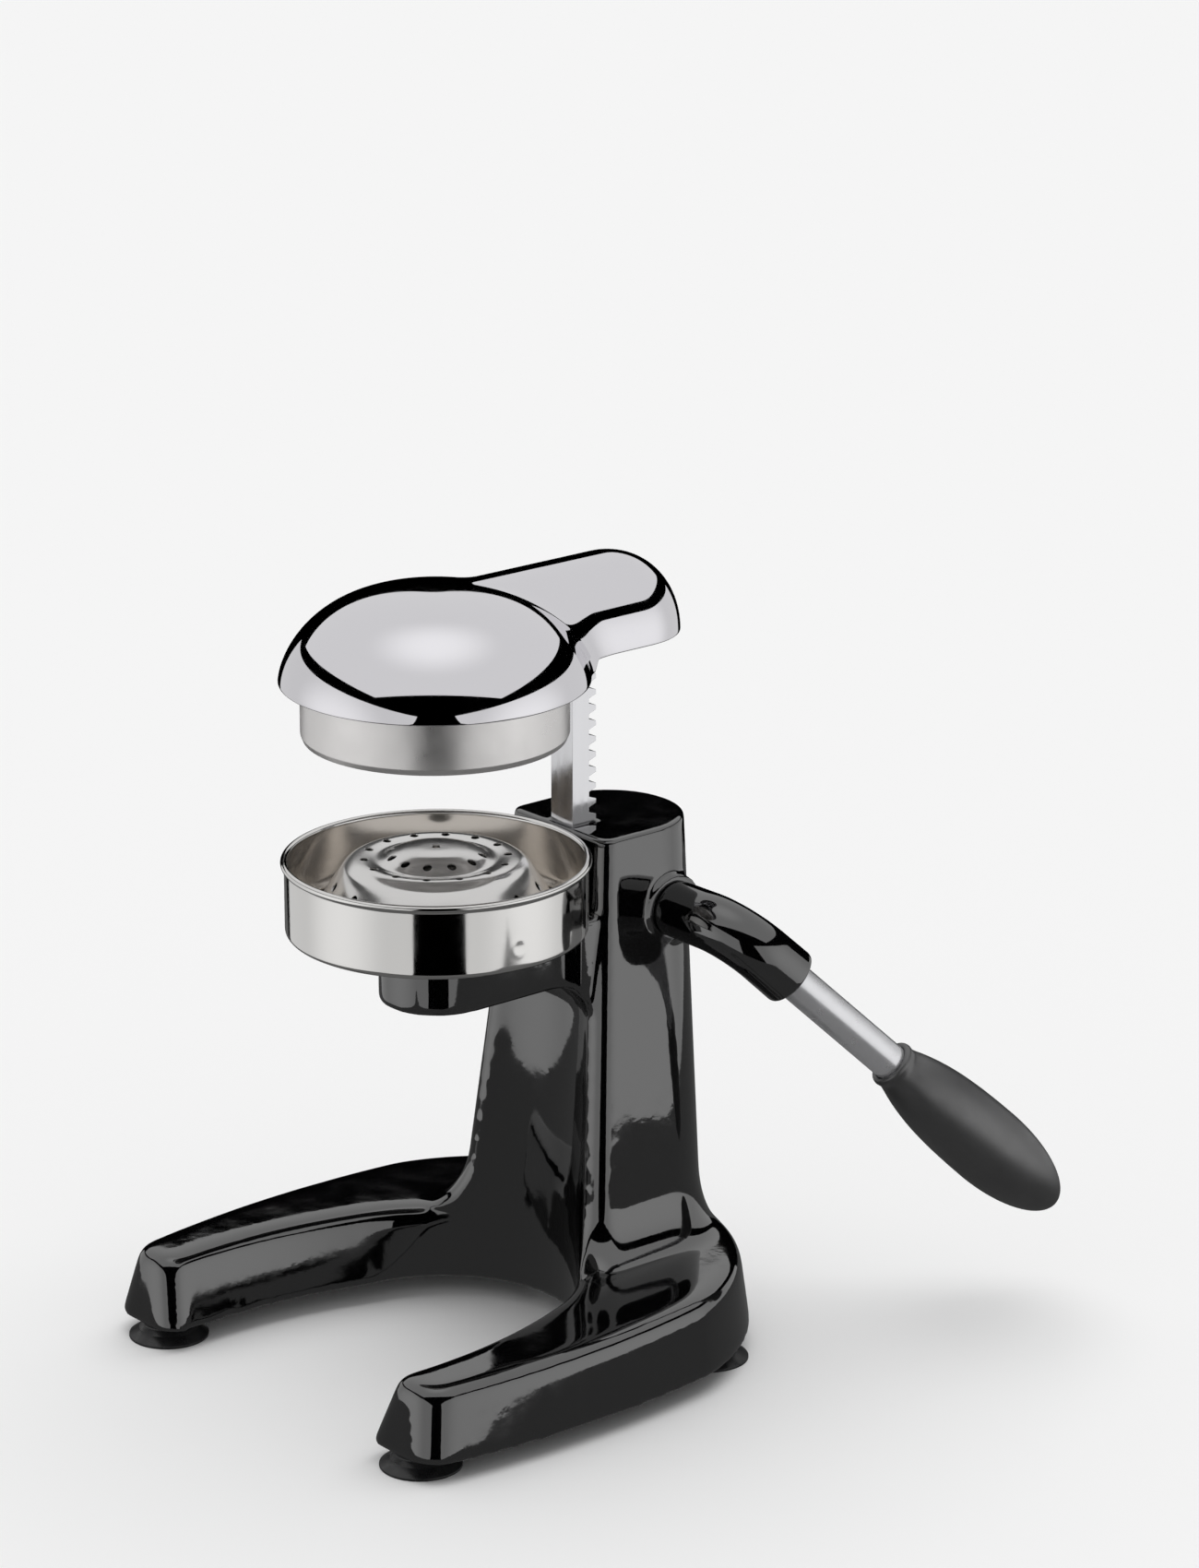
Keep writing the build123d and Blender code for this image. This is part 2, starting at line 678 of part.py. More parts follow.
def head_solid(inset):
    """Dome and tail as one solid, drawn in by the inset."""
    dome_line = [dome_point(share, inset) for share in dome_samples]
    tail_line = [tail_point(radians(angle), inset) for angle in (0.0, 15, 30, 45, 60, 75, 90.0)]
    with BuildPart() as solid:
        with BuildSketch(Plane.XZ):
            with BuildLine():
                Spline(*dome_line, tangents=[(1, 0), (0, -1)])
                Line(dome_line[-1], (0, dome_rim_z))
                Line((0, dome_rim_z), dome_line[0])
            make_face()
        revolve(axis=Axis.Z)
        with BuildSketch(Plane(origin=(0, tail_centre_y, 0), x_dir=(1, 0, 0), z_dir=(0, -1, 0))):
            with BuildLine():
                Spline(*tail_line, tangents=[(0, 1), (-1, 0)])
                Line(tail_line[-1], (0, tail_rim_z))
                Line((0, tail_rim_z), tail_line[0])
            make_face()
        revolve(axis=Axis((0, tail_centre_y, 0), (0, 0, 1)))
        with BuildSketch(Plane(origin=(0, tail_centre_y, 0), x_dir=(1, 0, 0), z_dir=(0, -1, 0))):
            with BuildLine():
                Spline(*tail_line, tangents=[(0, 1), (-1, 0)])
                Line(tail_line[-1], (0, tail_rim_z))
                Line((0, tail_rim_z), tail_line[0])
            make_face()
            mirror(about=Plane.YZ)
        extrude(amount=tail_centre_y)
    return solid.part


head_outside = head_solid(0.0)
head_inside = head_solid(head_wall)

with BuildPart() as head_cover:
    add(head_outside)
    add(head_inside, mode=Mode.SUBTRACT)
    with BuildSketch(above(cup_ceiling_z)):
        Circle(9.0)
    extrude(amount=dome_rim_z + dome_height - head_wall - cup_ceiling_z + 1.0)
    with BuildSketch(above(268.0)):
        with Locations((0, rack_front_y - 4.0)):
            Rectangle(2 * rack_half_width + 9.0, 19.0, align=(Align.CENTER, Align.MIN))
    extrude(amount=21.5)
    with BuildSketch(above(dome_rim_z - 1.0)):
        with Locations((0, rack_front_y)):
            Rectangle(
                2 * rack_half_width,
                rack_pitch_y + tooth_addendum - rack_front_y,
                align=(Align.CENTER, Align.MIN),
            )
    extrude(amount=rack_top_z - dome_rim_z + 1.0, mode=Mode.SUBTRACT)
    with BuildSketch(Plane.XZ.offset(-80.0)):
        with Locations(*[(0, level) for level in rack_screw_levels]):
            Circle(screw_radius)
    extrude(amount=20.0, mode=Mode.SUBTRACT)
    with BuildSketch(above(cup_ceiling_z)):
        Circle(cup_screw_radius)
    extrude(amount=14.0, mode=Mode.SUBTRACT)
write(head_cover, "head_cover")

with BuildPart() as rack_screws:
    for level in rack_screw_levels:
        with BuildSketch(Plane.XZ.offset(-rack_screw_seat_y)):
            with Locations((0, level)):
                Circle(screw_head_radius)
        extrude(amount=-2.0)
        with BuildSketch(Plane.XZ.offset(-rack_screw_seat_y)):
            with Locations((0, level)):
                Circle(screw_radius)
        extrude(amount=14.0)
write(rack_screws, "rack_screws")

cup_corner = 10.0
with BuildPart() as press_cup:
    with BuildSketch(Plane.XZ):
        with BuildLine():
            Polyline(
                (cup_radius - cup_wall, cup_rim_z),
                (cup_radius, cup_rim_z),
                (cup_radius, cup_ceiling_z),
                (2.6, cup_ceiling_z),
                (2.6, cup_ceiling_z - cup_wall),
                (cup_radius - cup_wall, cup_ceiling_z - cup_wall),
                close=True,
            )
        profile = make_face()
        fillet(profile.vertices().sort_by_distance((cup_radius, cup_ceiling_z, 0))[0], cup_corner)
        fillet(
            profile.vertices().sort_by_distance((cup_radius - cup_wall, cup_ceiling_z - cup_wall, 0))[0],
            cup_corner - cup_wall,
        )
    revolve(axis=Axis.Z)
write(press_cup, "press_cup")

with BuildPart() as cup_screw:
    with BuildSketch(above(cup_ceiling_z - cup_wall)):
        Circle(5.5)
    extrude(amount=-2.6)
    fillet(cup_screw.edges().sort_by(Axis.Z)[0], 1.2)
    with BuildSketch(above(cup_ceiling_z - cup_wall)):
        Circle(cup_screw_radius)
    extrude(amount=14.0)
write(cup_screw, "cup_screw")

# ---------------------------------------------------------------- bowl
floor_z = bowl_bottom_z + bowl_wall
inner_radius = bowl_wall_radius - bowl_wall
with BuildPart() as juice_bowl:
    with BuildSketch(Plane.XZ):
        with BuildLine():
            Polyline(
                (neck_radius, neck_bottom_z),
                (neck_radius, bowl_bottom_z),
                (bowl_wall_radius, bowl_bottom_z),
                (bowl_wall_radius, bowl_bead_z),
                (inner_radius, bowl_bead_z),
                (inner_radius, floor_z + 0.8),
                (neck_radius - bowl_wall, floor_z),
                (neck_radius - bowl_wall, neck_bottom_z),
                close=True,
            )
        wall = make_face()
        fillet(wall.vertices().sort_by_distance((bowl_wall_radius, bowl_bottom_z, 0))[0], 4.0)
        fillet(wall.vertices().sort_by_distance((inner_radius, floor_z + 0.8, 0))[0], 3.2)
        with Locations((bowl_rim_radius - bowl_bead_radius, bowl_bead_z)):
            Circle(bowl_bead_radius)
    revolve(axis=Axis.Z)
    # A small round dent in the side
    dent = radians(dent_angle)
    dent_distance = bowl_wall_radius + dent_radius - 0.5
    with Locations((dent_distance * cos(dent), dent_distance * sin(dent), dent_z)):
        Sphere(dent_radius, mode=Mode.SUBTRACT)
write(juice_bowl, "juice_bowl")

# ---------------------------------------------------------------- strainer
strainer_outer = [
    (0.0, 197.6), (8.0, 197.2), (14.0, 195.7), (18.5, 193.8), (23.0, 193.4), (29.0, 193.0),
    (34.0, 190.6), (38.0, 186.6), (42.5, 179.6), (46.0, 172.6), (48.2, 168.6),
]
strainer_flange_z = floor_z + 1.9
strainer_flange_radius = 51.0
with BuildPart() as strainer_cone:
    with BuildSketch(Plane.XZ):
        with BuildLine():
            inner_line = [
                (max(0.0, r - 0.75 * strainer_wall * r / 48.0), z - strainer_wall) for r, z in strainer_outer
            ]
            Spline(*strainer_outer, tangents=[(1, 0), (0.5, -1)])
            Line(strainer_outer[-1], (strainer_flange_radius, strainer_outer[-1][1]))
            Line(
                (strainer_flange_radius, strainer_outer[-1][1]),
                (strainer_flange_radius, inner_line[-1][1]),
            )
            Line((strainer_flange_radius, inner_line[-1][1]), inner_line[-1])
            Spline(*inner_line[::-1], tangents=[(-0.5, 1), (-1, 0)])
            Line(inner_line[0], strainer_outer[0])
        make_face()
    revolve(axis=Axis.Z)
    with BuildSketch(above(205.0)):
        Circle(strainer_hole_radius)
        for ring_radius, hole_count, first_angle in strainer_rings:
            with PolarLocations(ring_radius, hole_count, start_angle=first_angle):
                Circle(strainer_hole_radius)
    extrude(amount=-30.0, mode=Mode.SUBTRACT)
    for index in range(strainer_side_holes):
        turn = radians(strainer_side_angle + index * 360.0 / strainer_side_holes)
        with BuildSketch(Plane(origin=(0, 0, strainer_side_hole_z), z_dir=(cos(turn), sin(turn), 0))):
            Circle(strainer_hole_radius)
        extrude(amount=60.0, mode=Mode.SUBTRACT)
write(strainer_cone, "strainer_cone")
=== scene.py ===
import json
import math

import bmesh
import bpy
import numpy as np
from mathutils import Matrix, Vector


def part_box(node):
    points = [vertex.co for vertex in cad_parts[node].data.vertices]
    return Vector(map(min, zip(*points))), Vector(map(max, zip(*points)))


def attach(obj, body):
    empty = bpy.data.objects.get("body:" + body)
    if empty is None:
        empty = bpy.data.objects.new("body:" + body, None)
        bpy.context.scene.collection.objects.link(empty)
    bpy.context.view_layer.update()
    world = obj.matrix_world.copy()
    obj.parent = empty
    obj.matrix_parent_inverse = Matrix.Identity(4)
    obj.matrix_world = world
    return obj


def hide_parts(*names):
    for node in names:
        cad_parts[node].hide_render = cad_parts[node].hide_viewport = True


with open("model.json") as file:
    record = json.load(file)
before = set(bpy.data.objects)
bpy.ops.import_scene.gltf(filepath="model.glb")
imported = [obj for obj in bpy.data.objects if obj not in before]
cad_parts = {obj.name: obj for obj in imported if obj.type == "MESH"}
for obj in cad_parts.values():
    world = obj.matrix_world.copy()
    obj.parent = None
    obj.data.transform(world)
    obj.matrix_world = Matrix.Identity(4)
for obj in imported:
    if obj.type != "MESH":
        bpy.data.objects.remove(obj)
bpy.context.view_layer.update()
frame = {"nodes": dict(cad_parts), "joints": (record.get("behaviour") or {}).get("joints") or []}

# Lever-operated citrus press juicer: fine meshes, materials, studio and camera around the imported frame.
# Metres, in the frame's own axes: +Z up, the juice axis at X = Y = 0, the lever on +X, the column on +Y.

mm = 0.001

# ---------------------------------------------------------------- sizes
pivot = Vector(next(j["pos_m"] for j in frame["joints"] if j["name"] == "lever_turn"))
head_low, head_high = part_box("head_cover")
cup_low, cup_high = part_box("press_cup")
bowl_low, bowl_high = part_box("juice_bowl")
cone_low, cone_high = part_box("strainer_cone")
rack_low, rack_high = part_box("rack_bar")
cap_low, cap_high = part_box("side_cap")
pad_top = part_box("suction_pads")[1].z

tail_radius = 27.0 * mm
tail_lift = 3.9 * mm              # the tail's rim above the dome's rim
tail_crest_drop = 0.6 * mm        # the tail's crest below the dome's crown
head_wall = 3.0 * mm
lever_bend = math.radians(75.0)
lever_droop = math.radians(45.6)
elbow_straight = 18.2 * mm         # along the shaft, before the bend
elbow_radius = 20.0 * mm           # of the bend, along the middle
elbow_reach = 13.8 * mm            # past the bend
elbow_root = 10.6 * mm             # radius of the arm at the shaft and at the rod
elbow_tip = 11.2 * mm
rod_radius = 7.0 * mm
rod_inside = -22.0 * mm           # the rod starts this far inside the elbow
grip_start = 55.5 * mm
grip_length = 94.0 * mm
rod_in_grip = 60.0 * mm
pad_radius = 15.0 * mm
sheet = 1.0 * mm                  # wall of cup and bowl


# ---------------------------------------------------------------- mesh helpers
def new_piece(name, points, faces):
    """A smooth-shaded mesh object, welded, with its faces turned outwards."""
    mesh = bpy.data.meshes.new(name)
    mesh.from_pydata([tuple(p) for p in points], [], faces)
    work = bmesh.new()
    work.from_mesh(mesh)
    bmesh.ops.remove_doubles(work, verts=work.verts, dist=1e-7)
    bmesh.ops.dissolve_degenerate(work, dist=1e-8, edges=work.edges)
    bmesh.ops.recalc_face_normals(work, faces=work.faces)
    work.to_mesh(mesh)
    work.free()
    mesh.polygons.foreach_set("use_smooth", [True] * len(mesh.polygons))
    piece = bpy.data.objects.new(name, mesh)
    bpy.context.scene.collection.objects.link(piece)
    return piece


def even_normals(piece):
    """Large faces keep their own normals beside small rounded edges."""
    modifier = piece.modifiers.new("even normals", "WEIGHTED_NORMAL")
    modifier.weight = 60
    modifier.keep_sharp = True


def rounded(corners, steps=6):
    """A closed outline from corners (x, y, fillet radius), as points with round corners."""
    line = []
    for index, (x, y, radius) in enumerate(corners):
        here = Vector((x, y))
        if radius <= 0:
            line.append(here)
            continue
        before = (Vector(corners[index - 1][:2]) - here).normalized()
        after = (Vector(corners[(index + 1) % len(corners)][:2]) - here).normalized()
        half = before.angle(after) / 2
        centre = here + (before + after).normalized() * (radius / math.sin(half))
        start = here + before * (radius / math.tan(half)) - centre
        end = here + after * (radius / math.tan(half)) - centre
        sweep = start.angle_signed(end)
        for step in range(steps + 1):
            line.append(centre + Matrix.Rotation(-sweep * step / steps, 2) @ start)
    return line


def flowing(points, steps=8):
    """A smooth open line through the points (Catmull-Rom)."""
    pts = [Vector(p) for p in points]
    pts = [2 * pts[0] - pts[1]] + pts + [2 * pts[-1] - pts[-2]]
    line = []
    for a, b, c, d in zip(pts, pts[1:], pts[2:], pts[3:]):
        for step in range(steps):
            t = step / steps
            line.append(
                0.5 * (2 * b + (c - a) * t + (2 * a - 5 * b + 4 * c - d) * t ** 2
                       + (3 * b - 3 * c + d - a) * t ** 3)
            )
    return line + [pts[-2]]


def grid_faces(rows, columns, close_rows):
    """Quads of a grid whose columns run round; the rows may close too."""
    faces = []
    for row in range(rows if close_rows else rows - 1):
        below = row * columns
        above = ((row + 1) % rows) * columns
        for column in range(columns):
            after = (column + 1) % columns
            faces.append((below + column, below + after, above + after, above + column))
    return faces


def lathe_mesh(line, placement=Matrix.Identity(4), segments=160, close=True, bend=None):
    """Points and faces of a profile (radius, height) turned about the placement's Z axis."""
    points = []
    for radius, height in line:
        for segment in range(segments):
            turn = 2 * math.pi * segment / segments
            point = Vector((radius * math.cos(turn), radius * math.sin(turn), height))
            points.append(placement @ (bend(point) if bend else point))
    return points, grid_faces(len(line), segments, close)


def joined(meshes):
    """Several (points, faces) pairs as one."""
    points, faces = [], []
    for more_points, more_faces in meshes:
        start = len(points)
        points += list(more_points)
        faces += [tuple(start + i for i in face) for face in more_faces]
    return points, faces


def placed(origin, z_axis):
    """A placement at an origin with its Z axis along a direction."""
    turn = Vector(z_axis).to_track_quat("Z", "Y").to_matrix().to_4x4()
    return Matrix.Translation(origin) @ turn


def settle(piece, body, nodes, made):
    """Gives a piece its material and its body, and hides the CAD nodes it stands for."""
    piece.data.materials.clear()
    piece.data.materials.append(made)
    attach(piece, body)
    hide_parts(*nodes)


def applied(piece):
    """Bakes the modifiers of a piece into its mesh."""
    graph = bpy.context.evaluated_depsgraph_get()
    mesh = bpy.data.meshes.new_from_object(piece.evaluated_get(graph))
    piece.modifiers.clear()
    piece.data = mesh


def copy_of_node(node, name):
    """A welded copy of a CAD node's mesh."""
    mesh = frame["nodes"][node].data.copy()
    piece = bpy.data.objects.new(name, mesh)
    bpy.context.scene.collection.objects.link(piece)
    work = bmesh.new()
    work.from_mesh(mesh)
    bmesh.ops.remove_doubles(work, verts=work.verts, dist=2e-6)
    work.to_mesh(mesh)
    work.free()
    if mesh.has_custom_normals:
        bpy.context.view_layer.objects.active = piece
        bpy.ops.mesh.customdata_custom_splitnormals_clear()
    return piece


# ---------------------------------------------------------------- materials
def material(name, color, metallic=0.0, roughness=0.5, ior=1.5, anisotropic=0.0):
    """A principled material; values that are the same all over are set on the shader itself."""
    made = bpy.data.materials.new(name)
    made.use_nodes = True
    shader_input(made, "Base Color").default_value = (*color, 1.0)
    shader_input(made, "Metallic").default_value = metallic
    shader_input(made, "Roughness").default_value = roughness
    shader_input(made, "IOR").default_value = ior
    shader_input(made, "Anisotropic").default_value = anisotropic
    return made


def shader_input(made, name):
    return made.node_tree.nodes["Principled BSDF"].inputs[name]


def add_node(made, kind, **inputs):
    """A node in a material, with values for its inputs."""
    node = made.node_tree.nodes.new(kind)
    for key, value in inputs.items():
        node.inputs[key.replace("_", " ")].default_value = value
    return node


def link(made, source, target):
    made.node_tree.links.new(source, target)


def noise(made, scale, detail=3.0, stretch=(1, 1, 1), roughness=0.5):
    """Noise on the object's own coordinates, with its own stretch along X, Y and Z."""
    place = add_node(made, "ShaderNodeTexCoord")
    mapping = add_node(made, "ShaderNodeMapping", Scale=stretch)
    texture = add_node(made, "ShaderNodeTexNoise", Scale=scale, Detail=detail, Roughness=roughness)
    link(made, place.outputs["Object"], mapping.inputs["Vector"])
    link(made, mapping.outputs["Vector"], texture.inputs["Vector"])
    return texture.outputs["Fac"]


def ranged(made, value, low, high, new_low, new_high):
    """A value mapped from one range to another, clamped."""
    node = add_node(
        made, "ShaderNodeMapRange", From_Min=low, From_Max=high, To_Min=new_low, To_Max=new_high
    )
    link(made, value, node.inputs["Value"])
    return node.outputs["Result"]


def shade(made, fac, dark, light):
    """Base colour that runs between two colours."""
    mix = add_node(made, "ShaderNodeMix")
    mix.data_type = "RGBA"
    mix.inputs["A"].default_value = (*dark, 1.0)
    mix.inputs["B"].default_value = (*light, 1.0)
    link(made, fac, mix.inputs["Factor"])
    link(made, mix.outputs["Result"], shader_input(made, "Base Color"))


def rough(made, value):
    link(made, value, shader_input(made, "Roughness"))


def bump(made, heights):
    """Bumps from (value, depth in metres) pairs, one on top of the other."""
    last = None
    for value, depth in heights:
        node = add_node(made, "ShaderNodeBump", Strength=1.0, Distance=depth)
        link(made, value, node.inputs["Height"])
        if last:
            link(made, last.outputs["Normal"], node.inputs["Normal"])
        last = node
    link(made, last.outputs["Normal"], shader_input(made, "Normal"))


def enamel_material():
    """Gloss black enamel on a casting: slight orange peel, dust in the lacquer."""
    lacquer = (0.0016, 0.0016, 0.0018)
    made = material("black_enamel", lacquer, roughness=0.05, ior=2.3)
    rough(made, ranged(made, noise(made, 90, 4), 0.35, 0.7, 0.03, 0.075))
    dust = ranged(made, noise(made, 1900, 1), 0.78, 0.80, 0.0, 1.0)
    shade(made, dust, lacquer, (0.012, 0.012, 0.013))
    bump(made, [(noise(made, 330, 2), 10e-6), (noise(made, 60, 2), 45e-6)])
    return made


def chrome_material():
    """Mirror chrome with faint polishing haze."""
    made = material("mirror_chrome", (0.80, 0.79, 0.82), metallic=1.0, roughness=0.04)
    rough(made, ranged(made, noise(made, 130, 5, roughness=0.7), 0.4, 0.75, 0.022, 0.07))
    bump(made, [(noise(made, 55, 1), 14e-6)])
    return made


def rack_material():
    """Bright chrome over a cast surface, with fine drag lines along the bar."""
    made = material("rack_chrome", (0.74, 0.74, 0.76), metallic=1.0, roughness=0.12)
    rough(made, ranged(made, noise(made, 300, 4, (1, 1, 0.1)), 0.3, 0.7, 0.07, 0.2))
    bump(made, [(noise(made, 220, 3), 10e-6), (noise(made, 1500, 2, (1, 1, 0.05)), 2e-6)])
    return made


def turned_material(name, color, low, high, anisotropic, line_depth, metallic=1.0):
    """Stainless steel with fine lines round the Z axis; low and high are its roughness."""
    made = material(name, color, metallic=metallic, roughness=low, anisotropic=anisotropic)
    tangent = add_node(made, "ShaderNodeTangent")
    tangent.direction_type = "RADIAL"
    tangent.axis = "Z"
    link(made, tangent.outputs["Tangent"], shader_input(made, "Tangent"))
    lines = noise(made, 60, 4, (0.6, 0.6, 60), roughness=0.7)
    patches = noise(made, 70, 4)
    rough(made, ranged(made, patches, 0.3, 0.72, low, high))
    bump(made, [(lines, line_depth), (noise(made, 40, 1), 10e-6)])
    return made


def rod_material():
    """Satin chromed tube, brushed along its length."""
    made = material("satin_chrome", (0.80, 0.80, 0.82), metallic=0.84, roughness=0.24)
    rough(made, ranged(made, noise(made, 260, 4), 0.3, 0.7, 0.20, 0.28))
    bump(made, [(noise(made, 900, 2), 0.5e-6)])
    return made


def grip_material():
    """Soft matt charcoal rubber: fine sandy grain and faint handling marks."""
    made = material("grip_rubber", (0.02, 0.02, 0.022), roughness=0.42, ior=2.3)
    marks = ranged(made, noise(made, 60, 5), 0.3, 0.7, 0.0, 1.0)
    shade(made, marks, (0.013, 0.013, 0.014), (0.019, 0.019, 0.020))
    rough(made, ranged(made, noise(made, 110, 4), 0.3, 0.7, 0.35, 0.45))
    bump(made, [(noise(made, 2600, 2), 8e-6), (noise(made, 90, 2), 20e-6)])
    return made


def pad_material():
    """Black rubber of the suction feet, with a dull bloom in patches."""
    made = material("pad_rubber", (0.012, 0.012, 0.013), roughness=0.3, ior=1.5)
    bloom = ranged(made, noise(made, 120, 4), 0.4, 0.75, 0.0, 1.0)
    shade(made, bloom, (0.010, 0.010, 0.011), (0.028, 0.028, 0.029))
    rough(made, ranged(made, noise(made, 200, 4), 0.3, 0.7, 0.2, 0.45))
    bump(made, [(noise(made, 900, 3), 15e-6)])
    return made


def plastic_material():
    """Natural acetal, slightly waxy."""
    made = material("white_acetal", (0.80, 0.78, 0.73), roughness=0.4, ior=1.48)
    rough(made, ranged(made, noise(made, 300, 3), 0.3, 0.7, 0.3, 0.5))
    bump(made, [(noise(made, 800, 2), 6e-6)])
    return made


def machined_material(name, color, low, high):
    """Machined or plated steel with fine tool marks; low and high are its roughness."""
    made = material(name, color, metallic=1.0, roughness=low)
    worn = ranged(made, noise(made, 200, 4), 0.3, 0.7, 0, 1)
    shade(made, worn, tuple(0.8 * c for c in color), color)
    rough(made, ranged(made, noise(made, 400, 4), 0.3, 0.7, low, high))
    bump(made, [(noise(made, 1200, 2), 5e-6)])
    return made


enamel = enamel_material()
chrome = chrome_material()
rack_chrome = rack_material()
satin_steel = turned_material("satin_steel", (0.80, 0.785, 0.775), 0.26, 0.40, 0.4, 1.2e-6, 0.90)
polished_steel = turned_material("polished_steel", (0.79, 0.78, 0.765), 0.06, 0.11, 0.2, 0.8e-6)
# The strainer's satin roughness is its own finish; its brighter base and lower metallic let the lamps lift
# it: painted light.
strainer_satin_steel_painted_light = turned_material("strainer_satin_steel_painted_light", (0.84, 0.83, 0.82), 0.13, 0.21, 0.3, 0.8e-6, 0.85)
# The bowl's inside is the same steel as its outside; this copy is warmer and less metallic so that the lamps
# brighten it: painted bounce light.
inner_steel_painted_light = turned_material("inner_steel_painted_light", (0.80, 0.755, 0.70), 0.09, 0.16, 0.3, 1.0e-6, 0.86)
satin_chrome = rod_material()
grip_rubber = grip_material()
pad_rubber = pad_material()
acetal = plastic_material()
gear_steel = machined_material("gear_steel", (0.40, 0.39, 0.38), 0.28, 0.45)
zinc_steel = machined_material("zinc_steel", (0.62, 0.61, 0.58), 0.22, 0.38)


# ---------------------------------------------------------------- stand casting
def build_stand():
    """The stand casting, with edges and inner corners that flow into each other."""
    piece = copy_of_node("stand_casting", "stand_body")
    remesh = piece.modifiers.new("remesh", "REMESH")
    remesh.mode = "VOXEL"
    remesh.voxel_size = 0.9 * mm
    remesh.use_smooth_shade = True
    applied(piece)
    soften(piece, 60)
    settle(piece, "root", ["stand_casting"], enamel)


def soften(piece, rounds):
    """Relaxes a dense mesh, less towards its top; it stays inside its own box."""
    stiff_depth = 90.0 * mm           # over this depth below the top it gets free to move
    inward, outward = 0.55, -0.35     # in turns, so that the mesh keeps its size
    mesh = piece.data
    count = len(mesh.vertices)
    points = np.zeros(count * 3)
    mesh.vertices.foreach_get("co", points)
    points = points.reshape(-1, 3)
    edges = np.zeros(len(mesh.edges) * 2, dtype=np.int64)
    mesh.edges.foreach_get("vertices", edges)
    edges = edges.reshape(-1, 2)
    links = np.bincount(edges.ravel(), minlength=count).astype(float)
    low = points.min(0)
    high = points.max(0)
    freedom = np.clip((high[2] - points[:, 2:]) / stiff_depth, 0.15, 1.0)
    for turn in range(rounds * 2):
        total = np.zeros_like(points)
        for axis in range(3):
            total[:, axis] = (
                np.bincount(edges[:, 0], points[edges[:, 1], axis], count)
                + np.bincount(edges[:, 1], points[edges[:, 0], axis], count)
            )
        step = inward if turn % 2 == 0 else outward
        points += freedom * step * (total / links[:, None] - points)
    points = np.clip(points, low, high)
    mesh.vertices.foreach_set("co", points.ravel())
    mesh.update()


# ---------------------------------------------------------------- head
dome_radius = (head_high.x - head_low.x) / 2
dome_height = head_high.z - head_low.z
tail_y = head_high.y - tail_radius
head_reach = 120.0 * mm           # longer than any ray from the hub to the surface
head_hub = Vector((0.0, 25.0 * mm, head_low.z))
dome_powers = (2.7, 1.62)         # of the outline from the side: outwards and upwards
tail_power = 2.1
blend_width = 12.0 * mm           # widest blend of dome and tail
blend_gain = 1.7                  # how fast it widens with the angle between them
least_slope = 4.0                 # keeps the distances finite at the middle


def dome_value(points, inset):
    """Distance from the dome's surface, near it, and the outward gradient."""
    x, y, z = points[:, 0], points[:, 1], np.maximum(points[:, 2] - head_low.z, 0)
    radius, height = dome_radius - inset, dome_height - inset
    p, q = dome_powers
    r = np.maximum(np.hypot(x, y), 1e-9)
    value = (r / radius) ** p + (z / height) ** q - 1
    slope_r = p * (r / radius) ** (p - 1) / radius
    slope_z = q * np.maximum(z / height, 1e-4) ** (q - 1) / height
    size = np.maximum(np.hypot(slope_r, slope_z), least_slope)
    gradient = np.stack([slope_r * x / r, slope_r * y / r, slope_z], 1) / size[:, None]
    return value / size, gradient


def tail_value(points, inset):
    """The same for the tail, a round-topped bar with a round end."""
    x, y, z = points[:, 0], points[:, 1], np.maximum(points[:, 2] - head_low.z - tail_lift, 0)
    radius = tail_radius - inset
    height = dome_height - tail_lift - tail_crest_drop - inset
    beyond = np.where(y > tail_y, y - tail_y, 0) + np.where(y < 0, y, 0)
    r = np.maximum(np.hypot(x, beyond), 1e-9)
    value = (r / radius) ** tail_power + (z / height) ** tail_power - 1
    slope_r = tail_power * (r / radius) ** (tail_power - 1) / radius
    slope_z = tail_power * (z / height) ** (tail_power - 1) / height
    size = np.maximum(np.hypot(slope_r, slope_z), least_slope)
    gradient = np.stack([slope_r * x / r, slope_r * beyond / r, slope_z], 1) / size[:, None]
    return value / size, gradient


def head_value(points, inset):
    """Dome and tail run into each other where their surfaces meet at an angle."""
    dome, dome_out = dome_value(points, inset)
    tail, tail_out = tail_value(points, inset)
    facing = np.clip((dome_out * tail_out).sum(1), -1, 1)
    width = blend_width * np.clip(blend_gain * (1 - facing), 0.02, 1.0)
    near = np.maximum(width - np.abs(dome - tail), 0) / width
    return np.minimum(dome, tail) - near ** 2 * width / 4


def head_surface(turns, rises, inset, lift):
    """Points where rays from the middle of the head meet its surface."""
    halvings = 40
    turn, rise = np.meshgrid(turns, rises)
    level = np.cos(rise)
    start = np.zeros((turn.size, 3))
    start[:, 0] = head_hub.x
    start[:, 1] = head_hub.y
    start[:, 2] = (head_low.z + rim_lift(turns)[None, :] * level ** 2 + lift * level ** 8).ravel()
    ray = np.stack([(level * np.cos(turn)).ravel(), (level * np.sin(turn)).ravel(), np.sin(rise).ravel()], 1)
    near = np.zeros(turn.size)
    far = np.full(turn.size, head_reach)
    for _ in range(halvings):
        middle = (near + far) / 2
        inside = head_value(start + ray * middle[:, None], inset) < 0
        near = np.where(inside, middle, near)
        far = np.where(inside, far, middle)
    return (start + ray * near[:, None]).reshape(len(rises), len(turns), 3)


def rim_lift(turns):
    """The rim steps up from the dome to the tail at the inner corners."""
    corner = math.atan2(math.sqrt(dome_radius ** 2 - tail_radius ** 2) - head_hub.y, tail_radius)
    width = math.radians(3.0)
    aside = np.arccos(np.clip(np.sin(turns), -1, 1))       # angle from the +Y direction
    t = np.clip((math.pi / 2 - corner + width - aside) / (2 * width), 0, 1)
    return tail_lift * t * t * (3 - 2 * t)


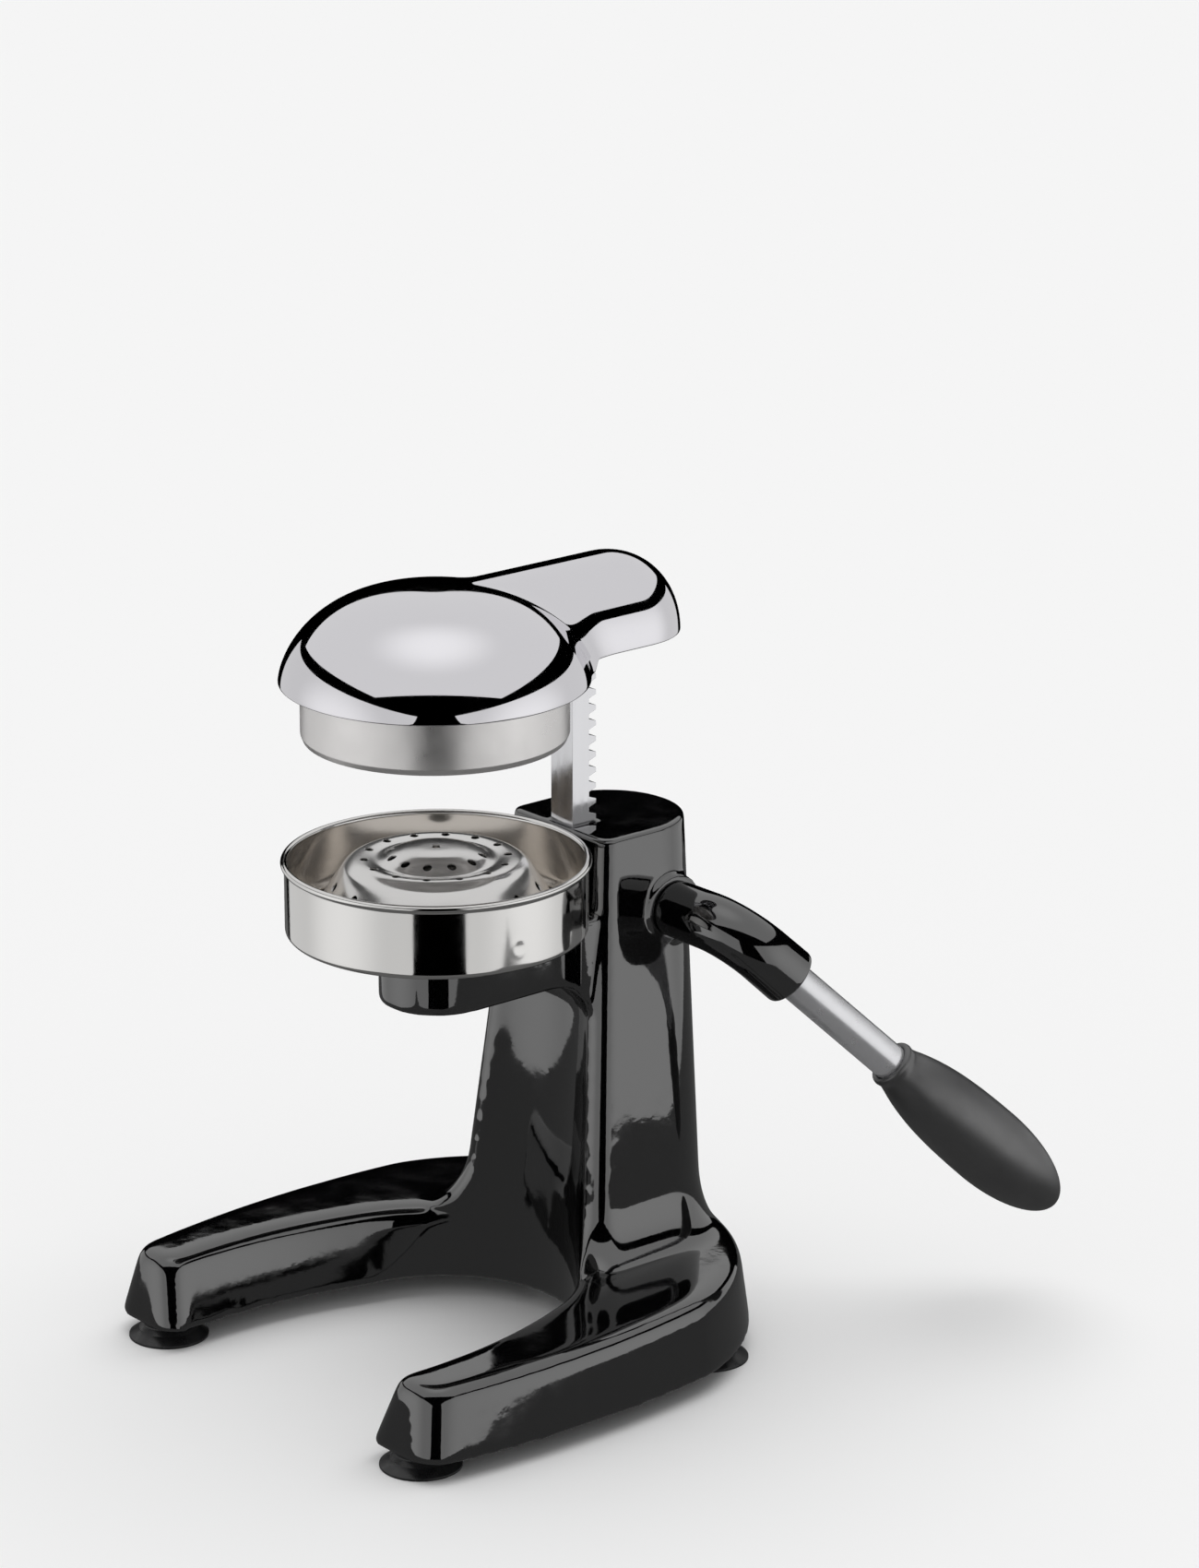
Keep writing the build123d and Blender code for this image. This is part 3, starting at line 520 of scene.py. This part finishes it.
def head_mesh():
    """Outer and inner surface of the head, with a rounded rim between them."""
    turns = np.linspace(0, 2 * math.pi, 480, endpoint=False)
    rises = np.linspace(0, math.pi / 2, 110, endpoint=False)
    edge = 1.0 * mm
    rim_steps = 12
    rim_power = 0.6                   # below 1 the rim is squarer than a half circle
    straight_up = math.pi / 2 - 1e-6
    outer = head_surface(turns, rises[::-1], 0.0, edge)
    inner = head_surface(turns, rises[::2], head_wall, edge)
    middle = (outer[-1] + inner[0]) / 2
    half = (outer[-1] - inner[0]) / 2
    rim = []
    for step in range(1, rim_steps):
        angle = math.pi * step / rim_steps
        ring = middle + half * math.copysign(abs(math.cos(angle)) ** rim_power, math.cos(angle))
        ring[:, 2] = middle[:, 2] - edge * math.sin(angle) ** rim_power
        rim.append(ring)
    rows = [*outer, *rim, *inner]
    points = np.concatenate(rows)
    columns = len(turns)
    faces = grid_faces(len(rows), columns, False)
    crown = head_surface(np.array([0.0]), np.array([straight_up]), 0.0, edge)[0]
    vault = head_surface(np.array([0.0]), np.array([straight_up]), head_wall, edge)[0]
    first, last = len(points), len(points) + 1
    points = np.concatenate([points, crown, vault])
    under = (len(rows) - 1) * columns
    for column in range(columns):
        after = (column + 1) % columns
        faces.append((first, after, column))
        faces.append((last, under + column, under + after))
    return points, faces


def block_mesh(low, high):
    """A plain box as points and faces."""
    points = [(x, y, z) for x in (low[0], high[0]) for y in (low[1], high[1]) for z in (low[2], high[2])]
    faces = [(0, 1, 3, 2), (4, 6, 7, 5), (0, 4, 5, 1), (2, 3, 7, 6), (0, 2, 6, 4), (1, 5, 7, 3)]
    return points, faces


def build_head():
    """The shell, the boss that the cup hangs on, and the four walls of the rack's socket."""
    boss_bore, boss_radius = 3 * mm, 9 * mm
    boss_low = cup_high.z
    boss_high = head_high.z - head_wall + 0.5 * mm
    boss_line = rounded([
        (boss_bore, boss_low, 0), (boss_radius, boss_low, 0.6 * mm),
        (boss_radius, boss_high, 0), (boss_bore, boss_high, 0),
    ])
    side = rack_high.x + 4.5 * mm
    front = rack_low.y - 4 * mm
    back = rack_high.y + 3.7 * mm
    socket_low = head_low.z + 7.5 * mm
    socket_high = rack_high.z + 3.0 * mm
    socket = []
    for low, high in (
        ((-side, front), (side, rack_low.y)),
        ((-side, rack_high.y), (side, back)),
        ((-side, rack_low.y), (rack_low.x, rack_high.y)),
        ((rack_high.x, rack_low.y), (side, rack_high.y)),
    ):
        socket.append(block_mesh((*low, socket_low), (*high, socket_high)))
    points, faces = joined([head_mesh(), lathe_mesh(boss_line, segments=64), *socket])
    piece = new_piece("head_shell", points, faces)
    even_normals(piece)
    settle(piece, "head", ["head_cover"], chrome)


# ---------------------------------------------------------------- cup, bowl, strainer
def build_cup():
    """Turned cup with a rolled lower edge and a hole for its screw."""
    radius = cup_high.x
    corner = 10 * mm
    bore = 3 * mm
    line = rounded([
        (radius - 2.2 * mm, cup_low.z, 0.35 * mm),
        (radius - 0.9 * mm, cup_low.z, 0.3 * mm),
        (radius, cup_low.z + 2.2 * mm, 1.5 * mm),
        (radius, cup_high.z, corner),
        (bore, cup_high.z, 0),
        (bore, cup_high.z - sheet, 0),
        (radius - sheet, cup_high.z - sheet, corner - sheet),
        (radius - sheet, cup_low.z + 2.4 * mm, 0.6 * mm),
    ], 12)
    piece = new_piece("cup_shell", *lathe_mesh(line, segments=224))
    even_normals(piece)
    settle(piece, "head", ["press_cup"], satin_steel)


def build_bowl():
    """Spun bowl with a rolled rim, a drain neck and one small dent in its side."""
    bead = 1.3 * mm
    rim = bowl_high.x
    wall = rim - bead
    bottom = bowl_low.z + 18.6 * mm
    top = bowl_high.z - bead
    neck = 9.4 * mm
    corner = 2.2 * mm
    rows = 24                         # enough for the dent to show
    profile = rounded([
        (neck - sheet, bowl_low.z, 0.3 * mm),
        (neck, bowl_low.z, 0.3 * mm),
        (neck, bottom, 1.2 * mm),
        (wall, bottom, corner),
        (wall, top, 0),
        (wall - sheet, top, 0),
        (wall - sheet, bottom + 1.8 * mm, 1.6 * mm),
        (neck - sheet, bottom + sheet, 1.6 * mm),
    ], 8)
    cut = next(i for i, p in enumerate(profile) if abs(p.y - top) < 1e-6)
    upright = top - bottom - corner
    straight = [Vector((wall, bottom + corner + upright * row / rows)) for row in range(1, rows)]
    bead_line = []
    for degrees in range(150, -120, -15):
        angle = math.radians(degrees)
        bead_line.append(Vector((wall + bead * math.sin(angle), top + bead * math.cos(angle))))
    line = profile[:cut] + straight + bead_line + profile[cut + 1:]
    dent_turn, dent_z = math.radians(-6.0), 175.0 * mm
    dent_size = 2.0 * mm
    dent_depth, ridge_height = 0.04 * mm, 0.03 * mm
    dent = Vector((wall * math.cos(dent_turn), wall * math.sin(dent_turn), dent_z))

    def dented(point):
        if point.z < bottom + 3 * mm or math.hypot(point.x, point.y) < wall - 2 * mm:
            return point
        off = (point - dent).length / dent_size
        depth = dent_depth * math.exp(-off ** 4) - ridge_height * math.exp(-(off - 1.4) ** 2 * 6)
        return point - Vector((point.x, point.y, 0)).normalized() * depth

    piece = new_piece("bowl_shell", *lathe_mesh(line, segments=420, bend=dented))
    even_normals(piece)
    settle(piece, "bowl", ["juice_bowl"], polished_steel)
    # Faces inside the bowl get the brightened copy of its steel: painted bounce light.
    piece.data.materials.append(inner_steel_painted_light)
    under_strainer = 46 * mm          # faces nearer to the axis are hidden by the strainer
    for face in piece.data.polygons:
        outward = face.center.x * face.normal.x + face.center.y * face.normal.y
        shown = math.hypot(face.center.x, face.center.y) > under_strainer
        if shown and face.center.z < top and (outward < -1e-4 or face.normal.z > 0.5):
            face.material_index = 1


def build_strainer():
    """Pressed strainer: raised middle, groove, shoulder, steep side and a flat brim, with round holes."""
    foot = cone_low.z
    top = cone_high.z
    thick = 0.8 * mm
    below_top = [                     # radius and drop in millimetres
        (0, 0), (6, 0.1), (11, 0.6), (14.5, 1.45), (17.2, 2.4), (19.3, 3.6), (21, 4.3), (22.6, 4.45),
        (25, 4.05), (27.5, 3.9), (30.5, 4.4), (33, 5.9), (35, 8.2), (37.6, 12.2), (41, 17.6), (44.8, 24.3),
    ]
    above_foot = [(47.6, 1.2), (49.4, 0.9), (50.9, 0.9)]
    shape = [(radius * mm, top - drop * mm) for radius, drop in below_top]
    shape += [(radius * mm, foot + rise * mm) for radius, rise in above_foot]
    outer = flowing(shape, 7)
    inner = []
    for before, here, after in zip([outer[0]] + outer, outer, outer[1:] + [outer[-1]]):
        along = (after - before).normalized()
        inner.append(Vector((max(here.x + along.y * thick, 0.0), here.y - along.x * thick)))
    inner[0] = Vector((0.0, outer[0].y - thick))
    brim = outer[-1].x
    curl = [
        Vector((brim + 0.35 * mm * math.sin(angle), outer[-1].y - thick / 2 + thick / 2 * math.cos(angle)))
        for angle in (0.5, 1.0, 1.57, 2.1, 2.6)
    ]
    line = outer + curl + inner[::-1]
    piece = new_piece("strainer_sheet", *lathe_mesh(line, segments=200, close=False))
    smooth_source = piece.copy()
    smooth_source.data = piece.data.copy()
    smooth_source.name = "strainer_uncut"
    bpy.context.scene.collection.objects.link(smooth_source)
    cutter = new_piece("strainer_holes", *joined(strainer_cutters(top)))
    boolean = piece.modifiers.new("holes", "BOOLEAN")
    boolean.operation = "DIFFERENCE"
    boolean.solver = "EXACT"
    boolean.object = cutter
    transfer = piece.modifiers.new("normals", "DATA_TRANSFER")
    transfer.object = smooth_source
    transfer.use_loop_data = True
    transfer.data_types_loops = {"CUSTOM_NORMAL"}
    transfer.loop_mapping = "POLYINTERP_NEAREST"
    transfer.use_max_distance = True
    transfer.max_distance = 0.05 * mm
    applied(piece)
    bpy.data.objects.remove(cutter)
    bpy.data.objects.remove(smooth_source)
    # Its upper faces get the satin steel with painted light; the faces below get the polished steel.
    settle(piece, "strainer", ["strainer_cone"], strainer_satin_steel_painted_light)
    piece.data.materials.append(polished_steel)
    for face in piece.data.polygons:
        outward = face.center.x * face.normal.x + face.center.y * face.normal.y
        if face.normal.z < -0.05 or (face.normal.z < 0.3 and outward < 0):
            face.material_index = 1


def strainer_cutters(top):
    """Bars that cut the holes: one in the middle, two rings from above, one ring from the side."""
    hole = 1.7 * mm
    side_holes = 14
    side_start, side_height = 28 * mm, 185 * mm
    cutters = []
    for radius, holes, first in ((0.0, 1, 0.0), (17.0, 12, 10.7), (26.2, 14, 5.5)):
        for index in range(holes):
            turn = math.radians(first + 360 / holes * index)
            centre = Vector((radius * mm * math.cos(turn), radius * mm * math.sin(turn), top - 12 * mm))
            cutters.append(rod_mesh(placed(centre, (0, 0, 1)), hole, 20 * mm))
    for index in range(side_holes):
        turn = math.radians(12.3 + 360 / side_holes * index)
        aim = Vector((math.cos(turn), math.sin(turn), 0))
        start = aim * side_start + Vector((0, 0, side_height))
        cutters.append(rod_mesh(placed(start, aim), hole, 30 * mm))
    return cutters


def rod_mesh(placement, radius, length, segments=28):
    """A closed round bar from the placement's origin along its Z axis."""
    points, faces = lathe_mesh([(radius, 0.0), (radius, length)], placement, segments, close=False)
    faces.append(tuple(range(segments))[::-1])
    faces.append(tuple(range(segments, 2 * segments)))
    return points, faces


# ---------------------------------------------------------------- lever
shaft_dir = Vector((1, 0, 0))
side_dir = Vector((0, math.cos(lever_droop), -math.sin(lever_droop)))
rod_dir = shaft_dir * math.cos(lever_bend) + side_dir * math.sin(lever_bend)
bend_ahead = elbow_radius * math.sin(lever_bend)
bend_aside = elbow_radius * (1 - math.cos(lever_bend))
mouth = (
    pivot
    + shaft_dir * (elbow_straight + bend_ahead + elbow_reach * math.cos(lever_bend))
    + side_dir * (bend_aside + elbow_reach * math.sin(lever_bend))
)


def build_elbow():
    """Bent round arm with rolled ends and a bore for the rod."""
    arc = elbow_radius * lever_bend
    total = elbow_straight + arc + elbow_reach
    lip = 0.9 * mm
    chamfer = 0.5 * mm
    bore_end = total - 21 * mm
    steps = 60
    segments = 112
    rolled = [(0.0, -lip), (0.02 * lip, -0.6 * lip), (0.3 * lip, -0.2 * lip), (lip, 0.0)]
    stations = rolled + [(lip + (total - 2 * lip) * step / steps, 0.0) for step in range(1, steps)]
    stations += [(total - distance, inset) for distance, inset in reversed(rolled)]
    rows = [(0.0, 0.0)]
    for distance, inset in stations:
        rows.append((distance, elbow_root + (elbow_tip - elbow_root) * distance / total + inset))
    rows += [(total, rod_radius + chamfer), (total - chamfer, rod_radius)]
    rows += [(bore_end, rod_radius), (bore_end, 0.0)]
    points = []
    across = shaft_dir.cross(side_dir)
    for distance, radius in rows:
        turn = min(max((distance - elbow_straight) / elbow_radius, 0.0), lever_bend)
        ahead = shaft_dir * math.cos(turn) + side_dir * math.sin(turn)
        outward = ahead.cross(across)
        centre = (
            pivot
            + shaft_dir * (min(distance, elbow_straight) + elbow_radius * math.sin(turn))
            + side_dir * elbow_radius * (1 - math.cos(turn))
            + ahead * max(distance - elbow_straight - arc, 0.0)
        )
        for segment in range(segments):
            angle = 2 * math.pi * segment / segments
            points.append(centre + (outward * math.cos(angle) + across * math.sin(angle)) * radius)
    piece = new_piece("elbow_arm", points, grid_faces(len(rows), segments, False))
    even_normals(piece)
    settle(piece, "lever", ["lever_elbow"], enamel)


def build_rod():
    """The tube from inside the elbow to inside the grip, with chamfered ends."""
    chamfer = 0.8 * mm
    steps = 12
    length = grip_start + rod_in_grip - rod_inside
    line = [(0.0, rod_inside), (rod_radius - chamfer, rod_inside), (rod_radius, rod_inside + chamfer)]
    line += [(rod_radius, rod_inside + chamfer + length * step / steps) for step in range(1, steps + 1)]
    line += [(rod_radius - chamfer, line[-1][1] + chamfer), (0.0, line[-1][1] + chamfer)]
    piece = new_piece("lever_tube", *lathe_mesh(line, placed(mouth, rod_dir), 96, close=False))
    even_normals(piece)
    settle(piece, "lever", ["lever_rod"], satin_chrome)


def build_grip():
    """Pear-shaped grip with a rolled collar where the rod goes in."""
    thick_at, thick = 55.0 * mm, 15.3 * mm
    bore = rod_radius + 0.02 * mm
    steps = 40
    line = [(bore, 8.0 * mm), (bore, 0.8 * mm), (rod_radius + 0.35 * mm, 0.2 * mm)]
    line += flowing([
        (7.9 * mm, 0.0), (8.9 * mm, 0.35 * mm), (9.35 * mm, 1.5 * mm), (9.15 * mm, 2.9 * mm),
        (9.05 * mm, 4.2 * mm), (9.6 * mm, 6.5 * mm), (11.1 * mm, 11.5 * mm), (12.6 * mm, 18.0 * mm),
        (13.9 * mm, 26.0 * mm), (14.8 * mm, 36.0 * mm), (15.2 * mm, 46.0 * mm), (thick, thick_at),
    ], 8)
    for step in range(1, steps + 1):
        angle = math.pi / 2 * step / steps
        line.append((thick * math.cos(angle), thick_at + (grip_length - thick_at) * math.sin(angle)))
    placement = placed(mouth + rod_dir * grip_start, rod_dir)
    piece = new_piece("grip_body", *lathe_mesh(line, placement, 128, close=False))
    settle(piece, "lever", ["grip"], grip_rubber)


# ---------------------------------------------------------------- small pieces
def build_pads():
    """Four suction feet with a thin flared lip."""
    front_foot, back_foot = (76.3 * mm, -69.7 * mm), (70.0 * mm, 71.4 * mm)
    centres = [(side * x, y) for x, y in (front_foot, back_foot) for side in (-1, 1)]
    line = rounded([
        (0.0, 2.6 * mm, 0), (9.0 * mm, 1.6 * mm, 2 * mm), (13.6 * mm, 0.0, 0), (pad_radius, 0.0, 0.3 * mm),
        (pad_radius, 0.9 * mm, 0.4 * mm), (11.2 * mm, 3.3 * mm, 1.2 * mm), (9.4 * mm, 5.2 * mm, 1.0 * mm),
        (9.4 * mm, pad_top, 0.3 * mm), (3.4 * mm, pad_top, 0), (3.4 * mm, 5.6 * mm, 0), (0.0, 5.6 * mm, 0),
    ], 5)
    turned = [lathe_mesh(line, Matrix.Translation((x, y, 0)), 80) for x, y in centres]
    piece = new_piece("rubber_feet", *joined(turned))
    even_normals(piece)
    settle(piece, "root", ["suction_pads"], pad_rubber)


def build_cap():
    """Cap over the shaft's left end, hollow where the shaft ends."""
    reach = cap_high.x - cap_low.x
    radius = (cap_high.y - cap_low.y) / 2
    hollow_radius, hollow_depth = 9.6 * mm, 4.2 * mm
    line = rounded([
        (0.0, reach, 0), (radius, reach, 2.4 * mm), (radius, 0.0, 0.3 * mm),
        (hollow_radius, 0.0, 0), (hollow_radius, hollow_depth, 0), (0.0, hollow_depth, 0),
    ], 10)
    placement = placed(Vector((cap_high.x, pivot.y, pivot.z)), (-1, 0, 0))
    piece = new_piece("shaft_cap", *lathe_mesh(line, placement, 96))
    even_normals(piece)
    settle(piece, "root", ["side_cap"], enamel)


def build_rack():
    """Toothed bar with its sharp edges broken."""
    piece = copy_of_node("rack_bar", "rack_teeth")
    work = bmesh.new()
    work.from_mesh(piece.data)
    bmesh.ops.dissolve_limit(work, angle_limit=math.radians(1.0), verts=work.verts, edges=work.edges)
    work.to_mesh(piece.data)
    work.free()
    bevel = piece.modifiers.new("broken edges", "BEVEL")
    bevel.width = 0.35 * mm
    bevel.segments = 3
    bevel.limit_method = "ANGLE"
    bevel.angle_limit = math.radians(25)
    piece.data.polygons.foreach_set("use_smooth", [True] * len(piece.data.polygons))
    even_normals(piece)
    settle(piece, "head", ["rack_bar"], rack_chrome)


def finish_cad_nodes():
    """The pieces whose CAD shape stays get their material."""
    for made, nodes in (
        (zinc_steel, ("pad_screws", "retaining_ring", "elbow_pin", "cup_screw", "rack_screws",
                      "rack_stop_plate", "rack_stop_screw")),
        (gear_steel, ("pinion_gear", "pinion_shaft", "gear_key")),
        (acetal, ("shaft_bush_left", "shaft_bush_right", "rack_guides")),
    ):
        for name in nodes:
            for slot in frame["nodes"][name].material_slots:
                slot.material = made


# ---------------------------------------------------------------- studio
camera_azimuth = math.radians(50.0)
camera_turn = camera_azimuth - math.pi / 2        # the same direction as an angle from +X
camera_way = Vector((math.cos(camera_turn), math.sin(camera_turn), 0))
camera_side = Vector((-math.sin(camera_turn), math.cos(camera_turn), 0))


def glow_material(name, base, extra, spread):
    """A lit board: even, with a brighter middle that fades out over a distance."""
    made = bpy.data.materials.new(name)
    made.use_nodes = True
    made.node_tree.nodes.clear()
    output = add_node(made, "ShaderNodeOutputMaterial")
    emission = add_node(made, "ShaderNodeEmission", Color=(1, 1, 1, 1))
    place = add_node(made, "ShaderNodeTexCoord")
    length = add_node(made, "ShaderNodeVectorMath")
    length.operation = "LENGTH"
    link(made, place.outputs["Object"], length.inputs[0])
    fade = add_node(
        made, "ShaderNodeMapRange", From_Min=0.0, From_Max=spread, To_Min=base + extra, To_Max=base
    )
    fade.interpolation_type = "SMOOTHERSTEP"
    link(made, length.outputs["Value"], fade.inputs["Value"])
    link(made, fade.outputs["Result"], emission.inputs["Strength"])
    link(made, emission.outputs["Emission"], output.inputs["Surface"])
    return made


def board(name, corners, middle, base, extra, spread):
    """A flat four-cornered light that shows only in reflections, brightest at its middle."""
    mesh = bpy.data.meshes.new(name)
    mesh.from_pydata([tuple(Vector(c) - Vector(middle)) for c in corners], [], [(0, 1, 2, 3)])
    made = bpy.data.objects.new(name, mesh)
    bpy.context.scene.collection.objects.link(made)
    made.location = middle
    mesh.materials.append(glow_material(name, base, extra, spread))
    made.visible_camera = False
    made.visible_shadow = False
    made.visible_diffuse = False


def level_point(ahead, aside, height):
    """A point so far towards the camera, and so far to its right."""
    return camera_way * ahead + camera_side * aside + Vector((0, 0, height))


def level_board(name, height, near, far, base, extra, spread):
    """A level board between two edges, each (how far towards the camera, left end, right end)."""
    near_ahead, near_left, near_right = near
    far_ahead, far_left, far_right = far
    corners = [
        level_point(near_ahead, near_left, height), level_point(near_ahead, near_right, height),
        level_point(far_ahead, far_right, height), level_point(far_ahead, far_left, height),
    ]
    board(name, corners, (0, 0, height), base, extra, spread)


def wall_board(name, facing, distance, front_end, back_end, low, high, base, extra, spread, cut=0.0):
    """An upright board beside the object; its ends are turns from the camera's direction, in degrees.
    The lower corner of its front end lies further round by the cut."""
    middle_way = camera_turn + math.radians(facing)
    out = Vector((math.cos(middle_way), math.sin(middle_way), 0))
    along = Vector((-out.y, out.x, 0))
    front, back, foot = (
        out * distance + along * distance * math.tan(math.radians(end - facing))
        for end in (front_end, back_end, front_end + cut)
    )
    up = Vector((0, 0, 1))
    middle_height = 0.1
    corners = [foot + up * low, back + up * low, back + up * high, front + up * high]
    board(name, corners, out * distance + up * middle_height, base, extra, spread)


def build_studio():
    """White paper, a soft lamp, and boards round the object with a dark gap where the camera stands."""
    world = bpy.data.worlds.new("studio")
    bpy.context.scene.world = world
    world.use_nodes = True
    background = world.node_tree.nodes["Background"]
    background.inputs["Color"].default_value = (1.0, 1.0, 1.0, 1.0)
    background.inputs["Strength"].default_value = 0.47
    world.cycles_visibility.glossy = False

    floor = new_piece("floor", [(-9, -9, 0), (9, -9, 0), (9, 9, 0), (-9, 9, 0)], [(0, 1, 2, 3)])
    paper = material("paper", (0.925, 0.925, 0.925), roughness=0.9)
    shader_input(paper, "Specular IOR Level").default_value = 0.0
    floor.data.materials.append(paper)
    floor.visible_glossy = False

    level_board(
        "top_box", height=0.95, near=(0.89, -0.92, 1.22), far=(-2.10, -1.80, 1.43),
        base=0.73, extra=0.26, spread=0.52,
    )
    wall_board(
        "left_wall", facing=-75, distance=1.3, front_end=-11, back_end=-151, low=-1.2, high=0.805,
        base=0.66, extra=0.28, spread=1.3, cut=-7,
    )
    wall_board(
        "right_wall", facing=72, distance=1.3, front_end=16, back_end=148, low=-1.2, high=0.70,
        base=0.68, extra=0.28, spread=1.3, cut=12,
    )
    level_board(
        "table_glow", height=-0.002, near=(0.34, -0.28, 0.46), far=(-0.6, -0.28, 0.46),
        base=0.12, extra=0.0, spread=1.0,
    )

    data = bpy.data.lights.new("overhead", "SUN")
    data.energy = 1.7
    data.angle = math.radians(75)
    lamp = bpy.data.objects.new("overhead", data)
    bpy.context.scene.collection.objects.link(lamp)
    lamp.rotation_euler = (math.radians(-14), math.radians(-10), 0)
    lamp.visible_glossy = False


def build_camera():
    """The camera of the photo, as fitted to the object's outlines."""
    azimuth, elevation = camera_azimuth, math.radians(17.85)
    distance = 2.139
    aim = Vector((-0.0114, 0.0869, 0.2006))
    right = Vector((math.cos(azimuth), math.sin(azimuth), 0))
    back = Vector((
        math.sin(azimuth) * math.cos(elevation), -math.cos(azimuth) * math.cos(elevation), math.sin(elevation)
    ))
    up = back.cross(right)
    data = bpy.data.cameras.new("camera")
    data.sensor_fit = "VERTICAL"
    data.sensor_height = 36.0
    data.sensor_width = 36.0
    data.lens = 131.5
    data.clip_end = 50.0
    camera = bpy.data.objects.new("camera", data)
    bpy.context.scene.collection.objects.link(camera)
    turn = Matrix((right, up, back)).transposed().to_4x4()
    camera.matrix_world = Matrix.Translation(aim + back * distance) @ turn
    bpy.context.scene.camera = camera


build_camera()
build_stand()
build_head()
build_cup()
build_bowl()
build_strainer()
build_elbow()
build_rod()
build_grip()
build_pads()
build_cap()
build_rack()
finish_cad_nodes()
build_studio()
bpy.context.scene.view_settings.view_transform = "Standard"
